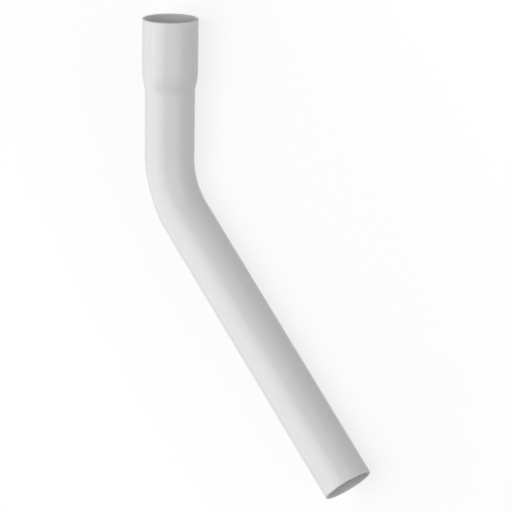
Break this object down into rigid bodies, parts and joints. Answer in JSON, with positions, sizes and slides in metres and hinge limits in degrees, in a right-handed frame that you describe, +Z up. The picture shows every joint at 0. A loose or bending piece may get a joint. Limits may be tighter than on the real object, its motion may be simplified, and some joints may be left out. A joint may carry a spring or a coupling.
{
  "type": "flush pipe",
  "caption": "Rigid plastic flush pipe with a belled socket, a gentle bend and a long straight tail; carries flush water from a cistern to a toilet pan.",
  "frame": {"origin": "on the floor, under the centre of the lying pipe's bounding box", "axes": "+X along the straight tail towards its open end, +Z up from the floor the pipe lies on, the socket leg on the +Y side"},
  "size_m": [0.4364, 0.1474, 0.0503],
  "materials": {
    "pipe_plastic": "satin"
  },
  "bodies": {
    "root": {"flush_pipe": "pipe_plastic"}
  },
  "joints": []
}
